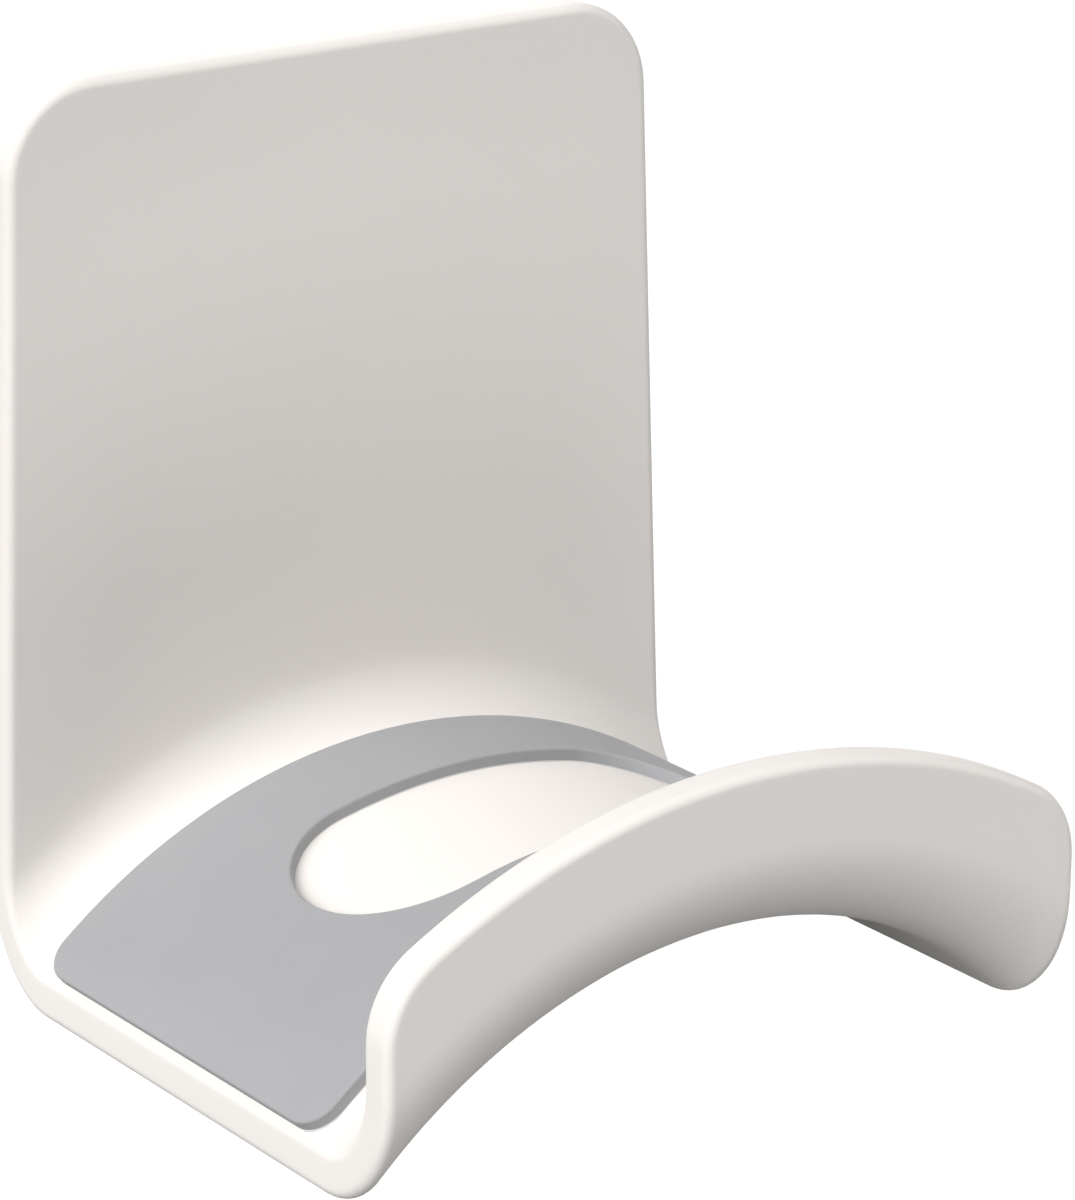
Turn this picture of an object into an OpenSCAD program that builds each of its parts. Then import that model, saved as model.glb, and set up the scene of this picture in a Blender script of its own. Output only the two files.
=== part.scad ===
// Adhesive headphone hook. One bent plastic sheet makes a wall plate, an arched saddle and a
// turned-up lip. A silicone mat with a long oval window lies on the saddle, and foam tape behind
// the plate holds the hook on a wall.
// The wall is the plane y = 0, the hook stands out towards -y, and z is up.

/* [Hook] */
// Width across the saddle and the lip
hook_w = 65; // [50:0.5:80]
// Thickness of the moulded sheet
sheet_t = 3.1; // [2:0.1:4]
// Clear depth between the wall plate and the lip
cradle_depth = 49; // [40:0.5:75]

/* [Wall plate] */
// Width of the wall plate at its top
plate_top_w = 60; // [44:0.5:80]
// Height of the wall plate's top above the saddle's crown
plate_h = 56.5; // [44:0.5:90]
// Radius of the wall plate's top corners
plate_corner_r = 7.5; // [3:0.25:12]

/* [Saddle] */
// Radius of the saddle's upper face, seen from the front
saddle_r = 47.5; // [37:0.5:80]
// Inner radius of the bend from the plate into the saddle
rear_bend_r = 5.25; // [3:0.25:8]

/* [Lip] */
// Height of the lip above the saddle's upper face
lip_h = 11.5; // [10:0.1:20]
// Inner radius of the bend from the saddle into the lip
front_bend_r = 5; // [3:0.25:8]
// Radius of the lip's top corners, seen from the front
lip_corner_r = 7.5; // [3:0.25:10]
// Rounding of the lip's top edge
lip_edge_r = 0.8; // [0.4:0.1:2]

/* [Grip mat] */
// Thickness of the mat
mat_t = 1; // [0.6:0.1:2.5]
// Thickness of the adhesive film under the mat
mat_film_t = 0.1; // [0.05:0.05:0.3]
// Bare saddle at each side of the mat, measured along the arch
mat_side_margin = 0.7; // [0.4:0.1:6]
// Bare saddle between the rear bend and the mat
mat_rear_margin = 0.1; // [0:0.1:4]
// Bare saddle between the mat and the front bend
mat_front_margin = 1.1; // [0:0.1:4]
// Radius of the mat's corners
mat_corner_r = 2.75; // [1:0.25:6]
// Length of the mat's window along the arch
window_l = 40.4; // [20:0.2:46]
// Width of the mat's window from front to back
window_w = 18.2; // [8:0.2:24]

/* [Mounting tape] */
// Thickness of the foam core
foam_t = 1; // [0.5:0.1:2]
// Thickness of each adhesive coat
adhesive_t = 0.1; // [0.05:0.05:0.2]
// Bare plate around the tape
tape_margin = 4; // [2:0.5:8]
// Radius of the tape's corners
tape_corner_r = 5; // [2:0.5:8]

/* [Hidden] */
$fn = 96;
// Reach past a surface that a cut passes through
spare = 2;
// Turn past each end of the saddle, which the front outline cuts off
spare_angle = 20;
// Overrun of a round cut past an edge that it runs into, so that the two surfaces cross
overrun = 0.05;
// Least flat that stays between the two roundings of the lip's top edge
lip_flat = 0.2;

// Distances out from the wall
tape_t = foam_t + 2 * adhesive_t;
plate_front = tape_t + sheet_t;
lip_back = plate_front + cradle_depth;
lip_front = lip_back + sheet_t;
saddle_from = plate_front + rear_bend_r;
saddle_to = lip_back - front_bend_r;
saddle_middle = (saddle_from + saddle_to) / 2;
mat_from = saddle_from + mat_rear_margin;
mat_to = saddle_to - mat_front_margin;
mat_middle = (mat_from + mat_to) / 2;

// The arch, and the heights that follow from the tape being centred on z = 0
half_w = hook_w / 2;
plate_top_half_w = plate_top_w / 2;
saddle_end_angle = asin(half_w / saddle_r);
// Height at which the plate's sides begin to lean, halfway up the rear bend
plate_foot_h = sqrt(pow(saddle_r + rear_bend_r / 2, 2) - pow(half_w, 2));
plate_top_r = saddle_r + plate_h;
// Length of the plate's section, which the front outline then cuts to shape
plate_reach = plate_h + hook_w;
lip_top_r = saddle_r + lip_h;
lip_round_r = min(lip_edge_r, (sheet_t - lip_flat) / 2);
tape_w = plate_top_w - 2 * tape_margin;
tape_h = plate_h - rear_bend_r - 2 * tape_margin;
arch_z = tape_h / 2 + tape_margin - plate_top_r;
mat_top_r = saddle_r + mat_film_t + mat_t;
mat_angle = saddle_end_angle - arch_degrees(mat_side_margin);
mat_corner_angle = mat_angle - asin((mat_corner_r - overrun) / mat_top_r);
window_end_angle = arch_degrees((window_l - window_w) / 2);

// Slope of the plate's sides, and the centre of its top right corner above the arch's axis
plate_lean = atan((half_w - plate_top_half_w) / (plate_top_r - plate_foot_h));
plate_corner = [
    plate_top_half_w - plate_corner_r * (1 - sin(plate_lean)) / cos(plate_lean),
    plate_top_r - plate_corner_r,
];

// The centre of the lip's top right corner above the arch's axis
lip_corner_x = half_w - lip_corner_r;
lip_corner_from_axis = lip_top_r - lip_corner_r + overrun;
lip_corner = [lip_corner_x, sqrt(pow(lip_corner_from_axis, 2) - pow(lip_corner_x, 2))];
lip_corner_turn = atan2(lip_corner.y, lip_corner.x);

// Angle that a length along the saddle takes up
function arch_degrees(length) = length / saddle_r * 180 / PI;

// The point of a circle that lies in a given direction from its centre
function on_circle(centre, r, direction) = centre + r * [cos(direction), sin(direction)];

// The right half of an outline, from bottom to top, joined with its mirror image
function mirrored(half) = concat(half, [for (i = [len(half) - 1:-1:0]) [-half[i].x, half[i].y]]);

// An outline whose right half is given, with round corners at a centre and its mirror image
module round_outline(half, corner, corner_r) {
    polygon(mirrored(half));
    for (side = [-1, 1])
        translate([side * corner.x, corner.y])
            circle(r = corner_r);
}

// Turns an outline of (height above the arch's axis, distance from the wall) along the arch
module along_arch(half_angle) {
    translate([0, 0, arch_z])
        rotate([90, 0, 0])
            rotate([0, 0, 90 - half_angle])
                rotate_extrude(angle = 2 * half_angle)
                    children();
}

// Stands a front outline up between two distances from the wall
module standing(from, to) {
    translate([0, -from, 0])
        rotate([90, 0, 0])
            linear_extrude(height = to - from)
                children();
}

// Front outline of the wall plate, above the saddle's upright ends
module plate_outline() {
    translate([0, arch_z])
        round_outline([
            [0, 0],
            [half_w, 0],
            [half_w, plate_foot_h],
            on_circle(plate_corner, plate_corner_r - overrun, plate_lean),
            [plate_corner.x, plate_top_r],
        ], plate_corner, plate_corner_r);
}

// Front outline of the lip, above the saddle's upright ends, left open above the lip's top edge
module lip_outline() {
    corner_end = on_circle(lip_corner, lip_corner_r, lip_corner_turn);
    translate([0, arch_z])
        round_outline([
            [0, 0],
            [half_w, 0],
            [half_w, lip_corner.y],
            corner_end,
            [corner_end.x, lip_top_r + spare],
        ], lip_corner, lip_corner_r);
}

// A quarter of a bend in the sheet
module bend(r, toward_wall) {
    intersection() {
        difference() {
            circle(r = r + sheet_t);
            circle(r = r);
        }
        translate([-r - 2 * sheet_t, toward_wall ? -r - 2 * sheet_t : 0])
            square(r + 2 * sheet_t);
    }
}

// The lip's section, with both top edges rounded
module lip_section() {
    straight = lip_h - front_bend_r - lip_round_r;
    square([straight, sheet_t]);
    translate([straight, lip_round_r])
        square([lip_round_r, sheet_t - 2 * lip_round_r]);
    for (side = [lip_round_r, sheet_t - lip_round_r])
        translate([straight, side])
            circle(r = lip_round_r);
}

// The sheet's section through the plate, the saddle and the lip
module sheet_section() {
    translate([saddle_r + rear_bend_r, tape_t])
        square([plate_reach, sheet_t]);
    translate([saddle_r + rear_bend_r, saddle_from])
        bend(rear_bend_r, true);
    translate([saddle_r - sheet_t, saddle_from])
        square([sheet_t, saddle_to - saddle_from]);
    translate([saddle_r + front_bend_r, saddle_to])
        bend(front_bend_r, false);
    translate([saddle_r + front_bend_r, lip_back])
        lip_section();
}

// A round cut square to the saddle, through the mat and its film
module round_cut(angle, out, r) {
    square_to_saddle(angle, out)
        cylinder(r = r, h = mat_t + 2 * spare);
}

// Moves a cut to a place on the saddle and turns it square to the arch
module square_to_saddle(angle, out) {
    translate([0, -out, arch_z])
        rotate([0, angle, 0])
            translate([0, 0, saddle_r - spare])
                children();
}

// The mat's long window with round ends
module mat_window() {
    along_arch(window_end_angle)
        translate([saddle_r - spare, mat_middle - window_w / 2 + overrun])
            square([mat_t + 2 * spare, window_w - 2 * overrun]);
    for (side = [-1, 1])
        round_cut(side * window_end_angle, mat_middle, window_w / 2);
}

// What is cut away outside one rounded corner of the mat
module mat_corner_cut(side, front) {
    out = front ? mat_to - mat_corner_r + overrun : mat_from + mat_corner_r - overrun;
    block = mat_corner_r + spare;
    difference() {
        square_to_saddle(side * mat_corner_angle, out)
            translate([side < 0 ? -block : 0, front ? -block : 0, 0])
                cube([block, block, mat_t + 2 * spare]);
        round_cut(side * mat_corner_angle, out, mat_corner_r);
    }
}

// A sheet on the saddle with the mat's outline, between two heights above the saddle
module on_saddle(low, high) {
    difference() {
        along_arch(mat_angle)
            translate([saddle_r + low, mat_from])
                square([high - low, mat_to - mat_from]);
        mat_window();
        for (side = [-1, 1], front = [true, false])
            mat_corner_cut(side, front);
    }
}

// A flat layer with the tape's outline, between two distances from the wall
module on_wall(from, to) {
    corner = [tape_w / 2 - tape_corner_r, tape_h / 2 - tape_corner_r];
    standing(from, to) {
        square([tape_w, 2 * corner.y], center = true);
        square([2 * corner.x, tape_h], center = true);
        for (side = [-1, 1], end = [-1, 1])
            translate([side * corner.x, end * corner.y])
                circle(r = tape_corner_r);
    }
}

// The sheet between two distances from the wall, cut to a front outline
module sheet_length(from, to) {
    intersection() {
        along_arch(saddle_end_angle + spare_angle)
            sheet_section();
        standing(from, to)
            children();
    }
}

module hook_body() {
    color("whitesmoke") {
        sheet_length(0, saddle_middle)
            plate_outline();
        sheet_length(saddle_middle, lip_front + spare)
            lip_outline();
    }
}

module grip_mat() {
    color("darkgray")
        on_saddle(mat_film_t, mat_film_t + mat_t);
}

module mat_adhesive_film() {
    color("gainsboro")
        on_saddle(0, mat_film_t);
}

module tape_front_adhesive() {
    color("lightgray")
        on_wall(adhesive_t + foam_t, tape_t);
}

module tape_foam_core() {
    color("white")
        on_wall(adhesive_t, adhesive_t + foam_t);
}

module tape_rear_adhesive() {
    color("lightgray")
        on_wall(0, adhesive_t);
}

hook_body();
grip_mat();
mat_adhesive_film();
tape_front_adhesive();
tape_foam_core();
tape_rear_adhesive();
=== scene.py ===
# Adhesive headphone hook: one bent plastic sheet makes a wall plate, an arched saddle and a turned-up
# lip, a grey silicone mat lies on the saddle, and foam tape sits behind the plate.
import math

import bmesh
import bpy
import numpy as np
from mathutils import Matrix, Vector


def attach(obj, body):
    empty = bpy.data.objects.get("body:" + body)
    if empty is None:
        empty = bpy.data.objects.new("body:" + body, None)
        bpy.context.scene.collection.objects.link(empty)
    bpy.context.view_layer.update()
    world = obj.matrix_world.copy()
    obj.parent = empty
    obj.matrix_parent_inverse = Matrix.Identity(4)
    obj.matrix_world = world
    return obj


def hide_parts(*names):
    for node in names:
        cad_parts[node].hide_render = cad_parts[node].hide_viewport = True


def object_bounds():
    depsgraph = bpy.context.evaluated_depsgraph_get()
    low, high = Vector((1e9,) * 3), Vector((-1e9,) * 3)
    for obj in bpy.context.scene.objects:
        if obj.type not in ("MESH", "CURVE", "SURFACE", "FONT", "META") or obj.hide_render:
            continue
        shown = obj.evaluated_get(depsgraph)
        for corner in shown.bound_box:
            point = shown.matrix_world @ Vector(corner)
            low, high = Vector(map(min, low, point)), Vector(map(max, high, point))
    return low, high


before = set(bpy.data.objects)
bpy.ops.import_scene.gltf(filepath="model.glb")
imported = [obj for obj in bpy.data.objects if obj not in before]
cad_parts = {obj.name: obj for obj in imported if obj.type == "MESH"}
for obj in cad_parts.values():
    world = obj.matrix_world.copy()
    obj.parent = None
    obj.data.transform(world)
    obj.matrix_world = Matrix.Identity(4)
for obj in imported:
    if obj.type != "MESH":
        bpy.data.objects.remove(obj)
cad_low, cad_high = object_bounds()

MM = 0.001

# The part's own sizes, in millimetres
HOOK_W = 65.0
SHEET_T = 3.1
CRADLE_DEPTH = 49.0
PLATE_TOP_W = 60.0
PLATE_H = 56.5
PLATE_CORNER_R = 7.5
SADDLE_R = 47.5
REAR_BEND_R = 5.25
LIP_H = 11.5
FRONT_BEND_R = 5.0
LIP_CORNER_R = 7.5
MAT_T = 1.0
MAT_FILM_T = 0.1
MAT_SIDE_MARGIN = 0.7
MAT_REAR_MARGIN = 0.1
MAT_FRONT_MARGIN = 1.1
MAT_CORNER_R = 2.75
WINDOW_L = 40.4
WINDOW_W = 18.2
FOAM_T = 1.0
ADHESIVE_T = 0.1
TAPE_MARGIN = 4.0
TAPE_CORNER_R = 5.0

# What follows from them
HALF_W = HOOK_W / 2
HALF_T = SHEET_T / 2
WALL_GAP = FOAM_T + 2 * ADHESIVE_T
PLATE_FRONT = WALL_GAP + SHEET_T
PLATE_TOP = SADDLE_R + PLATE_H
LIP_TOP = SADDLE_R + LIP_H
TAPE_W = PLATE_TOP_W - 2 * TAPE_MARGIN
TAPE_H = PLATE_H - REAR_BEND_R - 2 * TAPE_MARGIN
ARCH_Z = TAPE_H / 2 + TAPE_MARGIN - PLATE_TOP
SADDLE_LENGTH = CRADLE_DEPTH - REAR_BEND_R - FRONT_BEND_R
SADDLE_END = math.asin(HALF_W / SADDLE_R)

# Edge roundings that the mouldings have
SHEET_EDGE_R = 0.8
MAT_EDGE_R = 0.2
# Strip beside a rounding that keeps the face next to it flat to the eye
FLAT_STRIP = 0.2
# A turn sharper than this between two faces shows as an edge, in degrees
SHARP = 40
# Sockets of a mix node that is set to colours: its share, its two colours and its result
MIX_SHARE, MIX_A, MIX_B, MIX_RESULT = 0, 6, 7, 2


def linear(hex_colour):
    """A colour written as sRGB hex, as the linear values that a shader takes."""
    parts = [int(hex_colour[i:i + 2], 16) / 255 for i in (1, 3, 5)]
    return [c / 12.92 if c <= 0.04045 else ((c + 0.055) / 1.055) ** 2.4 for c in parts] + [1.0]


def add(tree, kind, inputs=None, **settings):
    """Adds a node, sets it up, and links or fills its inputs."""
    node = tree.nodes.new(kind)
    for name, value in settings.items():
        setattr(node, name, value)
    for key, value in (inputs or {}).items():
        if isinstance(value, bpy.types.NodeSocket):
            tree.links.new(value, node.inputs[key])
        else:
            node.inputs[key].default_value = value
    return node


def closed_mesh(name, points, faces):
    """A smooth closed mesh from points in millimetres, with its faces turned outwards."""
    mesh = bpy.data.meshes.new(name)
    mesh.from_pydata((np.asarray(points) * MM).tolist(), [], faces)
    turn_outwards(mesh)
    return mesh


def turn_outwards(mesh):
    """Turns the faces outwards and shades them smooth up to the sharp edges."""
    work = bmesh.new()
    work.from_mesh(mesh)
    bmesh.ops.recalc_face_normals(work, faces=work.faces)
    work.to_mesh(mesh)
    work.free()
    mesh.shade_smooth()
    mesh.set_sharp_from_angle(angle=math.radians(SHARP))


def band(first, second):
    """Quads between two closed rows of points."""
    count = len(first)
    return [
        [first[i], first[(i + 1) % count], second[(i + 1) % count], second[i]]
        for i in range(count)
    ]


def piece(name, mesh, material, node):
    """Puts a finished mesh in the scene in place of its CAD node."""
    mesh.materials.clear()
    mesh.materials.append(material)
    obj = bpy.data.objects.new(name, mesh)
    bpy.context.scene.collection.objects.link(obj)
    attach(obj, "root")
    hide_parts(node)


def shaped(tree, blank, sizes):
    """The mesh that a geometry tree makes of a blank, with the tree's inputs set by name."""
    holder = bpy.data.objects.new(blank.name, blank)
    bpy.context.scene.collection.objects.link(holder)
    modifier = holder.modifiers.new("shape", "NODES")
    modifier.node_group = tree
    for item in tree.interface.items_tree:
        if item.in_out == "INPUT" and item.name in sizes:
            modifier[item.identifier] = sizes[item.name]
    graph = bpy.context.evaluated_depsgraph_get()
    mesh = bpy.data.meshes.new_from_object(holder.evaluated_get(graph))
    bpy.data.objects.remove(holder)
    turn_outwards(mesh)
    return mesh


def shape_tree(name, sizes):
    """An empty geometry tree that takes a blank, some sizes and a material."""
    tree = bpy.data.node_groups.new(name, "GeometryNodeTree")
    tree.interface.new_socket("Blank", in_out="INPUT", socket_type="NodeSocketGeometry")
    for size in sizes:
        tree.interface.new_socket(size, in_out="INPUT", socket_type="NodeSocketFloat")
    tree.interface.new_socket("Finish", in_out="INPUT", socket_type="NodeSocketMaterial")
    tree.interface.new_socket("Piece", in_out="OUTPUT", socket_type="NodeSocketGeometry")
    return tree, add(tree, "NodeGroupInput").outputs


def follow_rule(tree, known, rule):
    """Adds one math node for each row of a rule: a name, an operation and what it works on."""
    for name, operation, *terms in rule:
        values = {i: known[t] if isinstance(t, str) else t for i, t in enumerate(terms)}
        known[name] = add(tree, "ShaderNodeMath", values, operation=operation).outputs[0]


def finish_shape(tree, given, x, y, z):
    """Moves the blank's points to a place and gives the result its material."""
    place = add(tree, "ShaderNodeCombineXYZ", {0: x, 1: y, 2: z})
    moved = add(tree, "GeometryNodeSetPosition", {
        "Geometry": given["Blank"], "Position": place.outputs[0],
    })
    real = add(tree, "GeometryNodeRealizeInstances", {"Geometry": moved.outputs[0]})
    finished = add(tree, "GeometryNodeSetMaterial", {
        "Geometry": real.outputs[0], "Material": given["Finish"],
    })
    add(tree, "NodeGroupOutput", {"Piece": finished.outputs[0]})


# The hook body
REAR_MID_R = REAR_BEND_R + HALF_T
FRONT_MID_R = FRONT_BEND_R + HALF_T
REAR_LENGTH = REAR_MID_R * math.pi / 2
FRONT_LENGTH = FRONT_MID_R * math.pi / 2
FRONT_START = REAR_LENGTH + SADDLE_LENGTH
LIP_START = FRONT_START + FRONT_LENGTH
PLATE_FOOT_R = SADDLE_R + REAR_BEND_R
LIP_FOOT_R = SADDLE_R + FRONT_BEND_R
# How finely the sheet is divided: across, round its edges and corners, and along its section
COLUMNS = 56
EDGE_STEPS = 10
CORNER_STEPS = 12
PLATE_STEPS = 26
BEND_STEPS = 14
SADDLE_STEPS = 12
LIP_STEPS = 4
SIDE_STEPS = 2 * (CORNER_STEPS + BEND_STEPS) + PLATE_STEPS + SADDLE_STEPS + LIP_STEPS
ACROSS = np.linspace(-1, 1, COLUMNS + 1)


def layer_radius(along, depth):
    """Height above the arch's axis of the layer at a depth from the sheet's middle, at a length along
    the section."""
    rear = np.clip(along, 0, REAR_LENGTH) / REAR_MID_R
    front = np.clip(along - FRONT_START, 0, FRONT_LENGTH) / FRONT_MID_R
    middle = (
        PLATE_FOOT_R - np.minimum(along, 0) - REAR_MID_R * np.sin(rear)
        + FRONT_MID_R * (1 - np.cos(front)) + np.maximum(along - LIP_START, 0)
    )
    return middle + depth * np.sin(rear + front)


def sheet_side(depth):
    """The right edge of the layer at a depth, from the plate's top corner to the lip's, as turn and length
    along. The edge stands upright below the plate's leaning side."""
    lean_z = math.sqrt((SADDLE_R + REAR_BEND_R / 2) ** 2 - HALF_W ** 2)
    lean = math.atan2(HALF_W - PLATE_TOP_W / 2, PLATE_TOP - lean_z)
    centre_x = PLATE_TOP_W / 2 - PLATE_CORNER_R * (1 - math.sin(lean)) / math.cos(lean)
    way = np.linspace(math.pi / 2, lean, CORNER_STEPS + 1)
    corner_x = centre_x + PLATE_CORNER_R * np.cos(way)
    corner_z = PLATE_TOP - PLATE_CORNER_R + PLATE_CORNER_R * np.sin(way)
    turns, alongs = [np.arctan2(corner_x, corner_z)], [PLATE_FOOT_R - np.hypot(corner_x, corner_z)]

    start = np.array([corner_x[-1], corner_z[-1]])
    down = np.array([math.sin(lean), -math.cos(lean)])
    reach = start @ down
    plate_r = np.linspace(np.hypot(*start), PLATE_FOOT_R, PLATE_STEPS + 1)[1:]
    rear = np.linspace(0, REAR_LENGTH, BEND_STEPS + 1)[1:]
    radius = np.concatenate([plate_r, layer_radius(rear, depth)])
    slid = -reach - np.sqrt(reach ** 2 - start @ start + radius ** 2)
    turns.append(np.arcsin(np.minimum(start[0] + slid * down[0], HALF_W) / radius))
    alongs += [PLATE_FOOT_R - plate_r, rear]

    lip_x = HALF_W - LIP_CORNER_R
    lip_z = math.sqrt((LIP_TOP - LIP_CORNER_R) ** 2 - lip_x ** 2)
    lip_r = np.linspace(LIP_FOOT_R, math.hypot(HALF_W, lip_z), LIP_STEPS + 1)[1:]
    straight = np.concatenate([
        np.linspace(REAR_LENGTH, FRONT_START, SADDLE_STEPS + 1)[1:],
        np.linspace(FRONT_START, LIP_START, BEND_STEPS + 1)[1:],
        LIP_START + lip_r - LIP_FOOT_R,
    ])
    turns.append(np.arcsin(HALF_W / layer_radius(straight, depth)))
    alongs.append(straight)

    way = np.linspace(0, math.atan2(lip_z, lip_x), CORNER_STEPS + 1)[1:]
    corner_x, corner_z = lip_x + LIP_CORNER_R * np.cos(way), lip_z + LIP_CORNER_R * np.sin(way)
    turns.append(np.arctan2(corner_x, corner_z))
    alongs.append(LIP_START + np.hypot(corner_x, corner_z) - LIP_FOOT_R)
    return np.concatenate(turns), np.concatenate(alongs)


def sheet_rim(depth):
    """The whole outline of the layer at a depth, clockwise from the plate's top left corner."""
    turn, along = sheet_side(depth)
    top_x = PLATE_TOP * math.tan(turn[0]) * np.sin(ACROSS * turn[0]) / math.sin(turn[0])
    top_turn, top_along = np.arctan2(top_x, PLATE_TOP), PLATE_FOOT_R - np.hypot(top_x, PLATE_TOP)
    lip_turn, lip_along = ACROSS * turn[-1], np.full(COLUMNS + 1, along[-1])
    return np.stack([
        np.concatenate([top_turn, turn[1:], lip_turn[-2::-1], -turn[-2:0:-1]]),
        np.concatenate([top_along, along[1:], lip_along[-2::-1], along[-2:0:-1]]),
    ], 1)


def sheet_grid(inner):
    """Points that fill the outline given, in rows from the plate's top to the lip's."""
    grid = np.zeros((SIDE_STEPS + 1, COLUMNS + 1, 2))
    grid[0], grid[-1] = inner[:COLUMNS + 1], inner[COLUMNS + SIDE_STEPS:2 * COLUMNS + SIDE_STEPS + 1][::-1]
    top_z = (PLATE_FOOT_R - inner[0, 1]) * math.cos(inner[0, 0])
    foot_z = PLATE_FOOT_R * math.cos(inner[COLUMNS + CORNER_STEPS + PLATE_STEPS, 0])
    for row in range(1, SIDE_STEPS):
        end_turn, end_along = inner[COLUMNS + row]
        grid[row, :, 0], grid[row, :, 1] = ACROSS * end_turn, end_along
        if end_along < 0:
            radius = PLATE_FOOT_R - end_along
            end_z = radius * math.cos(end_turn)
            level = np.clip((end_z - foot_z) / (top_z - foot_z), 0, 1)
            x = radius * np.sin(ACROSS * end_turn)
            z = end_z + (1 - level) * (np.sqrt(radius ** 2 - x ** 2) - end_z)
            grid[row] = np.stack([np.arctan2(x, z), PLATE_FOOT_R - np.hypot(x, z)], 1)
    return grid


def sheet_blank():
    """The sheet before it is bent, with rounded edges: x is the length round the saddle, y the length
    along the section from the plate's foot, and z the depth from the sheet's middle."""
    upper, lower = sheet_rim(HALF_T), sheet_rim(-HALF_T)
    rim, shift = (upper + lower) / 2, (upper - lower) / SHEET_T
    scale = np.stack([layer_radius(rim[:, 1], 0), np.ones(len(rim))], 1)
    step = (np.roll(rim, -1, 0) - rim) * scale
    step /= np.linalg.norm(step, axis=1)[:, None]
    run = step + np.roll(step, 1, 0)
    run /= np.linalg.norm(run, axis=1)[:, None]
    inward = np.stack([-run[:, 1], run[:, 0]], 1) / scale
    slope = -(shift * inward * scale ** 2).sum(1)

    points, faces, count, edge_rings = [], [], 0, []
    for face in (1, -1):
        start = np.arctan2(-slope, 1)
        middle = face * (HALF_T - SHEET_EDGE_R)
        centre = slope * middle - SHEET_EDGE_R * np.sqrt(1 + slope ** 2)
        first_depth = middle + SHEET_EDGE_R * np.sin(start) - face * FLAT_STRIP
        layers = [(first_depth, np.zeros(len(rim)))]
        for share in np.linspace(0, 1, EDGE_STEPS + 1):
            way = start + (face * math.pi / 2 - start) * share
            depth = middle + SHEET_EDGE_R * np.sin(way)
            layers.append((depth, slope * depth - centre - SHEET_EDGE_R * np.cos(way)))
        rings = []
        for depth, drawn_in in layers:
            place = rim + shift * depth[:, None] + inward * drawn_in[:, None]
            points.append(np.column_stack([place, depth]))
            rings.append(list(range(count, count + len(rim))))
            count += len(rim)
        inset = slope * face * HALF_T - centre + FLAT_STRIP
        grid = sheet_grid(rim + shift * face * HALF_T + inward * inset[:, None])
        points.append(np.column_stack([grid.reshape(-1, 2), np.full(grid.size // 2, face * HALF_T)]))
        number = np.arange(count, count + grid.size // 2).reshape(grid.shape[:2])
        count += grid.size // 2
        rings.append([*number[0], *number[1:, -1], *number[-1, -2::-1], *number[-2:0:-1, 0]])
        for first, second in zip(rings, rings[1:]):
            faces += band(first, second)
        for row in range(SIDE_STEPS):
            for col in range(COLUMNS):
                quad = number[row:row + 2, col:col + 2]
                faces.append([quad[0, 0], quad[1, 0], quad[1, 1], quad[0, 1]])
        edge_rings.append(rings[0])
    faces += band(*edge_rings)
    points = np.concatenate(points)
    points[:, 0] *= SADDLE_R
    return closed_mesh("sheet_blank", points, [[int(i) for i in f] for f in faces])


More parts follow.
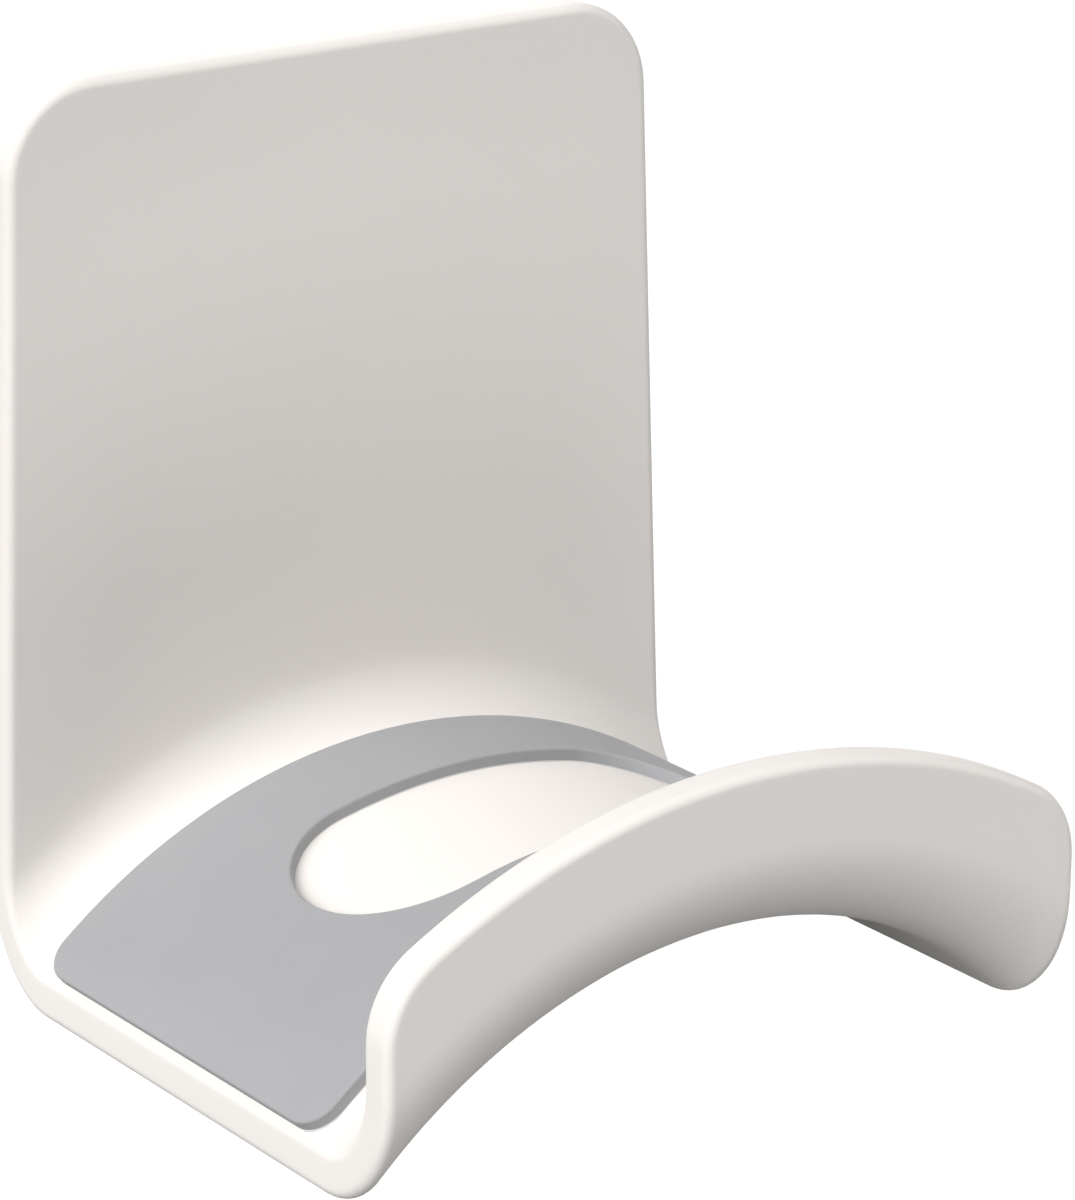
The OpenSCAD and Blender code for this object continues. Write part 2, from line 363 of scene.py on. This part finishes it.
def bend_tree():
    """Bends the blank twice into the hook's section and turns that section over the arch."""
    tree, given = shape_tree("bend_sheet", [
        "Saddle radius", "Sheet thickness", "Rear bend radius", "Front bend radius",
        "Saddle length", "Wall gap", "Arch axis height",
    ])
    place = add(tree, "GeometryNodeInputPosition").outputs[0]
    blank = add(tree, "ShaderNodeSeparateXYZ", {0: place}).outputs
    known = {s.name: s for s in given if s.name}
    known.update(round=blank[0], along=blank[1], depth=blank[2])
    follow_rule(tree, known, [
        ("half", "MULTIPLY", "Sheet thickness", 0.5),
        ("rear r", "ADD", "Rear bend radius", "half"),
        ("front r", "ADD", "Front bend radius", "half"),
        ("rear length", "MULTIPLY", "rear r", math.pi / 2),
        ("front length", "MULTIPLY", "front r", math.pi / 2),
        ("above foot", "MINIMUM", "along", 0.0),
        ("from foot", "MAXIMUM", "along", 0.0),
        ("rear way", "MINIMUM", "from foot", "rear length"),
        ("rear turn", "DIVIDE", "rear way", "rear r"),
        ("past rear", "SUBTRACT", "along", "rear length"),
        ("on saddle", "MAXIMUM", "past rear", 0.0),
        ("saddle way", "MINIMUM", "on saddle", "Saddle length"),
        ("past saddle", "SUBTRACT", "past rear", "Saddle length"),
        ("in front", "MAXIMUM", "past saddle", 0.0),
        ("front way", "MINIMUM", "in front", "front length"),
        ("front turn", "DIVIDE", "front way", "front r"),
        ("past front", "SUBTRACT", "past saddle", "front length"),
        ("lip way", "MAXIMUM", "past front", 0.0),
        ("heading", "ADD", "rear turn", "front turn"),
        ("foot", "ADD", "Saddle radius", "Rear bend radius"),
        ("plate r", "SUBTRACT", "foot", "above foot"),
        ("rear sin", "SINE", "rear turn"),
        ("rear drop", "MULTIPLY", "rear r", "rear sin"),
        ("after rear", "SUBTRACT", "plate r", "rear drop"),
        ("front cos", "COSINE", "front turn"),
        ("front rise", "SUBTRACT", 1.0, "front cos"),
        ("after front", "MULTIPLY_ADD", "front r", "front rise", "after rear"),
        ("middle r", "ADD", "after front", "lip way"),
        ("lift", "SINE", "heading"),
        ("radius", "MULTIPLY_ADD", "depth", "lift", "middle r"),
        ("plate out", "ADD", "Wall gap", "half"),
        ("rear cos", "COSINE", "rear turn"),
        ("rear share", "SUBTRACT", 1.0, "rear cos"),
        ("rear out", "MULTIPLY_ADD", "rear r", "rear share", "plate out"),
        ("saddle out", "ADD", "rear out", "saddle way"),
        ("front sin", "SINE", "front turn"),
        ("middle out", "MULTIPLY_ADD", "front r", "front sin", "saddle out"),
        ("push", "COSINE", "heading"),
        ("out", "MULTIPLY_ADD", "depth", "push", "middle out"),
        ("angle", "DIVIDE", "round", "Saddle radius"),
        ("angle sin", "SINE", "angle"),
        ("angle cos", "COSINE", "angle"),
        ("x", "MULTIPLY", "radius", "angle sin"),
        ("y", "MULTIPLY", "out", -1.0),
        ("z", "MULTIPLY_ADD", "radius", "angle cos", "Arch axis height"),
    ])
    finish_shape(tree, given, known["x"], known["y"], known["z"])
    return tree


# The grip mat
MAT_TOP_R = SADDLE_R + MAT_FILM_T + MAT_T
MAT_FROM = PLATE_FRONT + REAR_BEND_R + MAT_REAR_MARGIN
MAT_TO = PLATE_FRONT + CRADLE_DEPTH - FRONT_BEND_R - MAT_FRONT_MARGIN
MAT_HALF_L = (SADDLE_END - MAT_SIDE_MARGIN / SADDLE_R) * MAT_TOP_R
MAT_HALF_W = (MAT_TO - MAT_FROM) / 2
WINDOW_R = WINDOW_W / 2
WINDOW_END = (WINDOW_L - WINDOW_W) / 2 / SADDLE_R * MAT_TOP_R
# How finely the mat is divided: along and round its window, at its corners, across and round its edges
WINDOW_SIDE_STEPS = 12
WINDOW_END_STEPS = 64
MAT_CORNER_STEPS = 12
MAT_STEPS = 14
MAT_EDGE_STEPS = 4
# A direction counts as square to an axis below this share of it
SQUARE = 1e-9


def to_mat_edge(start, direction):
    """Where a straight line from the window reaches the mat's outline, and which way that faces."""
    flat = np.array([MAT_HALF_L - MAT_CORNER_R, MAT_HALF_W - MAT_CORNER_R])
    sign = np.where(direction < 0, -1.0, 1.0)
    best = None
    for axis, half in ((0, MAT_HALF_L), (1, MAT_HALF_W)):
        if abs(direction[axis]) < SQUARE:
            continue
        hit = start + direction * (sign[axis] * half - start[axis]) / direction[axis]
        if abs(hit[1 - axis]) <= flat[1 - axis]:
            normal = np.zeros(2)
            normal[axis] = sign[axis]
            best = (hit, normal)
    if best is None:
        offset = start - sign * flat
        reach = offset @ direction
        hit = start + direction * (-reach + math.sqrt(reach ** 2 - offset @ offset + MAT_CORNER_R ** 2))
        best = (hit, (hit - sign * flat) / MAT_CORNER_R)
    return best


def mat_blank():
    """The mat laid flat: a ring with a long window and small round top edges."""
    side = np.linspace(-WINDOW_END, WINDOW_END, WINDOW_SIDE_STEPS + 1)[1:-1]
    turn = np.linspace(0, math.pi / 2, MAT_CORNER_STEPS + 1)
    corner = np.arctan2(
        MAT_HALF_W - MAT_CORNER_R * (1 - np.sin(turn)),
        MAT_HALF_L - MAT_CORNER_R * (1 - np.cos(turn)) - WINDOW_END,
    )
    ways = np.linspace(-math.pi / 2, math.pi / 2, WINDOW_END_STEPS + 1)
    ways = ways[(np.abs(ways) < corner[0]) | (np.abs(ways) > corner[-1])]
    ways = np.sort(np.concatenate([ways, corner, -corner]))
    starts, directions = [], []
    for end in (1, -1):
        for way in ways:
            starts.append([end * WINDOW_END, 0])
            directions.append([end * math.cos(way), end * math.sin(way)])
        for x in side[::-1] * end:
            starts.append([x, 0])
            directions.append([0, end])
    starts, directions = np.array(starts), np.array(directions)
    window = starts + directions * WINDOW_R
    edge, normal = map(np.array, zip(*(to_mat_edge(s, d) for s, d in zip(starts, directions))))
    low, high = MAT_FILM_T, MAT_FILM_T + MAT_T
    round_way = np.linspace(0, math.pi / 2, MAT_EDGE_STEPS + 1)
    profile = [
        (0, high - MAT_EDGE_R - FLAT_STRIP),
        *zip(MAT_EDGE_R * (1 - np.cos(round_way)), high - MAT_EDGE_R * (1 - np.sin(round_way))),
    ]
    strip = MAT_EDGE_R + FLAT_STRIP
    inner, outer = window + directions * strip, edge - normal * strip
    loops = [(window, low)]
    loops += [(window + directions * drawn_in, height) for drawn_in, height in profile]
    loops += [(inner + (outer - inner) * share, high) for share in np.linspace(0, 1, MAT_STEPS + 1)]
    loops += [(edge - normal * drawn_in, height) for drawn_in, height in profile[::-1]]
    loops.append((edge, low))
    loops += [(window + (edge - window) * share, low) for share in np.linspace(1, 0, MAT_STEPS + 1)[1:-1]]
    count = len(window)
    points = np.concatenate([np.column_stack([p, np.full(count, h)]) for p, h in loops])
    points[:, 1] = (MAT_FROM + MAT_TO) / 2 - points[:, 1]
    rings = [list(range(i * count, (i + 1) * count)) for i in range(len(loops))]
    faces = []
    for i, ring in enumerate(rings):
        faces += band(ring, rings[(i + 1) % len(rings)])
    mesh = closed_mesh("mat_blank", points, faces)
    # Marks the mat's wall points, which the silicone finish paints darker as painted shade
    wall = mesh.attributes.new("painted_wall_shade", "FLOAT", "POINT")
    on_wall = [1.0 if height < high - MAT_EDGE_R / 2 else 0.0 for _, height in loops]
    wall.data.foreach_set("value", np.repeat(on_wall, count))
    return mesh


def wrap_tree():
    """Lays a flat blank over the saddle: x goes round the arch, y away from the wall, and z up from the
    saddle."""
    tree, given = shape_tree("wrap_on_saddle", ["Saddle radius", "Measured at radius", "Arch axis height"])
    place = add(tree, "GeometryNodeInputPosition").outputs[0]
    blank = add(tree, "ShaderNodeSeparateXYZ", {0: place}).outputs
    known = {s.name: s for s in given if s.name}
    known.update(round=blank[0], out=blank[1], height=blank[2])
    follow_rule(tree, known, [
        ("angle", "DIVIDE", "round", "Measured at radius"),
        ("radius", "ADD", "Saddle radius", "height"),
        ("angle sin", "SINE", "angle"),
        ("angle cos", "COSINE", "angle"),
        ("x", "MULTIPLY", "radius", "angle sin"),
        ("y", "MULTIPLY", "out", -1.0),
        ("z", "MULTIPLY_ADD", "radius", "angle cos", "Arch axis height"),
    ])
    finish_shape(tree, given, known["x"], known["y"], known["z"])
    return tree


# The tape's foam core, and how finely its edge and corners are divided
FOAM_EDGE_STEPS = 4
FOAM_CORNER_STEPS = 14
# How far the foam's edge is drawn in
FOAM_WAIST = 0.12


def foam_core():
    """The die-cut foam, whose edge is drawn in a little between its two adhesive coats."""
    half = np.array([TAPE_W / 2, TAPE_H / 2]) - TAPE_CORNER_R
    centres, normals = [], []
    for quarter, (sx, sz) in enumerate(((1, 1), (-1, 1), (-1, -1), (1, -1))):
        for way in np.linspace(0, math.pi / 2, FOAM_CORNER_STEPS + 1) + quarter * math.pi / 2:
            centres.append(half * [sx, sz])
            normals.append([math.cos(way), math.sin(way)])
    centres, normals = np.array(centres), np.array(normals)
    count = len(centres)
    points, rings = [], []
    for share in np.linspace(0, 1, 2 * FOAM_EDGE_STEPS + 1):
        waist = FOAM_WAIST * math.sin(share * math.pi)
        flat = centres + normals * (TAPE_CORNER_R - waist)
        out = ADHESIVE_T + share * FOAM_T
        rings.append(list(range(len(points) * count, (len(points) + 1) * count)))
        points.append(np.column_stack([flat[:, 0], np.full(count, -out), flat[:, 1]]))
    faces = [rings[0][::-1], rings[-1]]
    for lower, upper in zip(rings, rings[1:]):
        faces += band(lower, upper)
    return closed_mesh("tape_foam", np.concatenate(points), faces)


# Finishes: the width of grains, spots, cells and waves in millimetres, each bump's strength and its depth
# in millimetres, and the limits of the roughness
ABS_GRAIN = 0.30
ABS_FLOW = 18.0
ABS_BUMP = (0.12, 0.02)
ABS_ROUGHNESS = (0.85, 0.97)
SKIN_GRAIN = 0.22
DUST_SPOT = 6.0
SKIN_BUMP = (0.2, 0.02)
SKIN_ROUGHNESS = (0.58, 0.74)
FOAM_CELL = 0.35
FOAM_BUMP = (0.5, 0.08)
FOAM_ROUGHNESS = (0.80, 0.95)
GLUE_WAVE = 2.5
GLUE_BUMP = (0.25, 0.05)
GLUE_ROUGHNESS = (0.30, 0.42)


def new_finish(name):
    """A material with an empty tree, and the piece's own coordinates."""
    material = bpy.data.materials.new(name)
    material.use_nodes = True
    tree = material.node_tree
    tree.nodes.clear()
    return material, tree, add(tree, "ShaderNodeTexCoord").outputs["Object"]


def end_finish(tree, pattern, roughness, bump, inputs):
    """Ends a material: one pattern gives both its gloss and its bumps, and the inputs give the rest."""
    gloss = add(tree, "ShaderNodeMapRange", {
        "Value": pattern, "To Min": roughness[0], "To Max": roughness[1],
    })
    relief = add(tree, "ShaderNodeBump", {
        "Strength": bump[0], "Distance": bump[1] * MM, "Height": pattern,
    })
    shader = add(tree, "ShaderNodeBsdfPrincipled", {
        "Roughness": gloss.outputs[0], "Normal": relief.outputs[0], **inputs,
    })
    add(tree, "ShaderNodeOutputMaterial", {"Surface": shader.outputs[0]})


def moulded_abs():
    """Injection moulded ABS: a warm white with a fine even spark-eroded grain, which spreads light so
    widely that hardly any sheen is left. The grain is drawn coarser than its real 0.05 mm, so that it
    shows."""
    material, tree, place = new_finish("moulded_abs")
    grain = add(tree, "ShaderNodeTexNoise", {"Vector": place, "Scale": 1 / (ABS_GRAIN * MM), "Detail": 2.0})
    flow = add(tree, "ShaderNodeTexNoise", {"Vector": place, "Scale": 1 / (ABS_FLOW * MM), "Detail": 1.0})
    colour = add(tree, "ShaderNodeMix", {
        MIX_SHARE: flow.outputs["Fac"], MIX_A: linear("#F2EDE9"), MIX_B: linear("#EFEBE7"),
    }, data_type="RGBA")
    end_finish(tree, grain.outputs["Fac"], ABS_ROUGHNESS, ABS_BUMP, {
        "Base Color": colour.outputs[MIX_RESULT], "IOR": 1.54, "Specular IOR Level": 0.15,
    })
    return material


def grey_silicone():
    """Moulded silicone rubber: a cool grey with a dry matte skin and a trace of dust. The mat's walls are
    given a slightly darker grey as painted shade, where they face away from the light. The skin is drawn
    coarser than its real 0.05 mm, so that it shows."""
    material, tree, place = new_finish("grey_silicone")
    skin = add(tree, "ShaderNodeTexNoise", {"Vector": place, "Scale": 1 / (SKIN_GRAIN * MM), "Detail": 3.0})
    dust = add(tree, "ShaderNodeTexNoise", {"Vector": place, "Scale": 1 / (DUST_SPOT * MM), "Detail": 4.0})
    top = add(tree, "ShaderNodeMix", {
        MIX_SHARE: dust.outputs["Fac"], MIX_A: linear("#A1A1A4"), MIX_B: linear("#A6A6A8"),
    }, data_type="RGBA")
    # Painted shade: the walls are mixed to a darker grey than the top
    wall = add(tree, "ShaderNodeAttribute", attribute_name="painted_wall_shade")
    colour = add(tree, "ShaderNodeMix", {
        MIX_SHARE: wall.outputs["Fac"], MIX_A: top.outputs[MIX_RESULT], MIX_B: linear("#9C9DA0"),
    }, data_type="RGBA")
    end_finish(tree, skin.outputs["Fac"], SKIN_ROUGHNESS, SKIN_BUMP, {
        "Base Color": colour.outputs[MIX_RESULT], "IOR": 1.41,
    })
    return material


def white_foam():
    """Closed-cell polyethylene foam: dull white with small round cells that show on the cut edge."""
    material, tree, place = new_finish("white_foam")
    cells = add(tree, "ShaderNodeTexVoronoi", {"Vector": place, "Scale": 1 / (FOAM_CELL * MM)})
    colour = add(tree, "ShaderNodeMix", {
        MIX_SHARE: cells.outputs["Distance"], MIX_A: linear("#E4E2DD"), MIX_B: linear("#F4F3F0"),
    }, data_type="RGBA")
    end_finish(tree, cells.outputs["Distance"], FOAM_ROUGHNESS, FOAM_BUMP, {
        "Base Color": colour.outputs[MIX_RESULT], "IOR": 1.5,
    })
    return material


def acrylic_adhesive(name, tone, other_tone):
    """A coat of acrylic adhesive: milky, with a soft tacky gloss broken by faint coating waves."""
    material, tree, place = new_finish(name)
    waves = add(tree, "ShaderNodeTexNoise", {"Vector": place, "Scale": 1 / (GLUE_WAVE * MM), "Detail": 2.0})
    colour = add(tree, "ShaderNodeMix", {
        MIX_SHARE: waves.outputs["Fac"], MIX_A: linear(tone), MIX_B: linear(other_tone),
    }, data_type="RGBA")
    end_finish(tree, waves.outputs["Fac"], GLUE_ROUGHNESS, GLUE_BUMP, {
        "Base Color": colour.outputs[MIX_RESULT], "IOR": 1.48,
    })
    return material


abs_white = moulded_abs()
silicone = grey_silicone()
foam = white_foam()
tape_glue = acrylic_adhesive("tape_acrylic_adhesive", "#E8E6E1", "#EFEDE9")
mat_glue = acrylic_adhesive("mat_acrylic_adhesive", "#D4D4D2", "#DCDCDA")

body_mesh = shaped(bend_tree(), sheet_blank(), {
    "Saddle radius": SADDLE_R * MM,
    "Sheet thickness": SHEET_T * MM,
    "Rear bend radius": REAR_BEND_R * MM,
    "Front bend radius": FRONT_BEND_R * MM,
    "Saddle length": SADDLE_LENGTH * MM,
    "Wall gap": WALL_GAP * MM,
    "Arch axis height": ARCH_Z * MM,
    "Finish": abs_white,
})
piece("bent_hook_sheet", body_mesh, abs_white, "hook_body")

mat_mesh = shaped(wrap_tree(), mat_blank(), {
    "Saddle radius": SADDLE_R * MM,
    "Measured at radius": MAT_TOP_R * MM,
    "Arch axis height": ARCH_Z * MM,
    "Finish": silicone,
})
piece("silicone_grip_mat", mat_mesh, silicone, "grip_mat")
piece("die_cut_foam", foam_core(), foam, "tape_foam_core")

for node, material in (
    ("mat_adhesive_film", mat_glue),
    ("tape_front_adhesive", tape_glue),
    ("tape_rear_adhesive", tape_glue),
):
    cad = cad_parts[node]
    cad.data.materials.clear()
    cad.data.materials.append(material)

# Light, floor and camera, in metres, degrees and watts
FLOOR_Z = -0.50
FLOOR_HALF = 4.0
# Each far lamp's name, the direction that it shines from and its strength
LAMPS = [
    ("left_window", (-0.90, -0.10, 0.40), 2.15),
    ("left_high", (-0.66, -0.27, 0.67), 1.38),
    ("front", (0.00, -1.00, 0.15), 0.26),
    ("right_high", (0.60, -0.20, 0.75), 1.12),
    ("back_low", (0.20, 0.95, 0.30), 1.90),
]
LAMP_SPREAD = 50
# Each light card's name, place and power
CARDS = [
    ("front_card", (0.0, -0.75, -0.28), 1.25),
    ("right_card", (0.35, -0.72, -0.25), 0.42),
]
CARD_WIDTH = 0.35
# How strongly the white room lights the hook, where 1 is as bright as the room looks
FILL = 0.10
# The camera stands where the photo's edges and the hook's fall together
CAMERA_LENS = 146.567
CAMERA_SENSOR = 36.0
CAMERA_PLACE = (-0.210486, -0.313614, 0.107545)
CAMERA_TURN = (71.1177, -0.1592, -36.5426)
HOOK_MIDDLE = (cad_low + cad_high) / 2


def lamp(name, towards, strength):
    """A far soft lamp that shines from a direction."""
    data = bpy.data.lights.new(name, "SUN")
    data.energy = strength
    data.angle = math.radians(LAMP_SPREAD)
    obj = bpy.data.objects.new(name, data)
    bpy.context.scene.collection.objects.link(obj)
    x, y, z = towards
    obj.rotation_euler = (math.atan2(math.hypot(x, y), z), 0, math.atan2(x, -y))


def card(name, place, watts):
    """A square light card at a place, turned to the middle of the hook."""
    data = bpy.data.lights.new(name, "AREA")
    data.energy = watts
    data.size = CARD_WIDTH
    obj = bpy.data.objects.new(name, data)
    bpy.context.scene.collection.objects.link(obj)
    obj.location = place
    obj.rotation_euler = (obj.location - HOOK_MIDDLE).to_track_quat("Z", "Y").to_euler()
    obj.visible_camera = False


def looked_at(tree):
    """1 for rays from the eye, straight or by way of a gloss or glass, and 0 for rays that carry light."""
    ray = add(tree, "ShaderNodeLightPath").outputs
    straight = add(tree, "ShaderNodeMath", {
        0: ray["Is Camera Ray"], 1: ray["Is Glossy Ray"],
    }, operation="MAXIMUM")
    return add(tree, "ShaderNodeMath", {
        0: straight.outputs[0], 1: ray["Is Transmission Ray"],
    }, operation="MAXIMUM").outputs[0]


for row in LAMPS:
    lamp(*row)
for row in CARDS:
    card(*row)

world = bpy.data.worlds.new("white_room")
bpy.context.scene.world = world
world.use_nodes = True
sky = world.node_tree
sky.nodes.clear()
strength = add(sky, "ShaderNodeMapRange", {"Value": looked_at(sky), "To Min": FILL, "To Max": 1.0})
backdrop = add(sky, "ShaderNodeBackground", {"Color": linear("#FFFFFF"), "Strength": strength.outputs[0]})
add(sky, "ShaderNodeOutputWorld", {"Surface": backdrop.outputs[0]})

floor_finish = bpy.data.materials.new("pale_floor")
floor_finish.use_nodes = True
tree = floor_finish.node_tree
tree.nodes.clear()
tone = add(tree, "ShaderNodeMix", {
    MIX_SHARE: looked_at(tree), MIX_A: linear("#202020"), MIX_B: linear("#F8F8F8"),
}, data_type="RGBA")
paint = add(tree, "ShaderNodeBsdfDiffuse", {"Color": tone.outputs[MIX_RESULT]})
add(tree, "ShaderNodeOutputMaterial", {"Surface": paint.outputs[0]})
corners = [(x * FLOOR_HALF, y * FLOOR_HALF, FLOOR_Z) for x, y in ((-1, -1), (1, -1), (1, 1), (-1, 1))]
floor_mesh = bpy.data.meshes.new("floor")
floor_mesh.from_pydata(corners, [], [(0, 1, 2, 3)])
floor_mesh.materials.append(floor_finish)
floor = bpy.data.objects.new("floor", floor_mesh)
bpy.context.scene.collection.objects.link(floor)

camera = bpy.data.cameras.new("camera")
camera.sensor_width = CAMERA_SENSOR
camera.lens = CAMERA_LENS
camera_object = bpy.data.objects.new("camera", camera)
camera_object.location = CAMERA_PLACE
camera_object.rotation_euler = [math.radians(a) for a in CAMERA_TURN]
bpy.context.scene.collection.objects.link(camera_object)
bpy.context.scene.camera = camera_object
bpy.context.scene.view_settings.view_transform = "Standard"
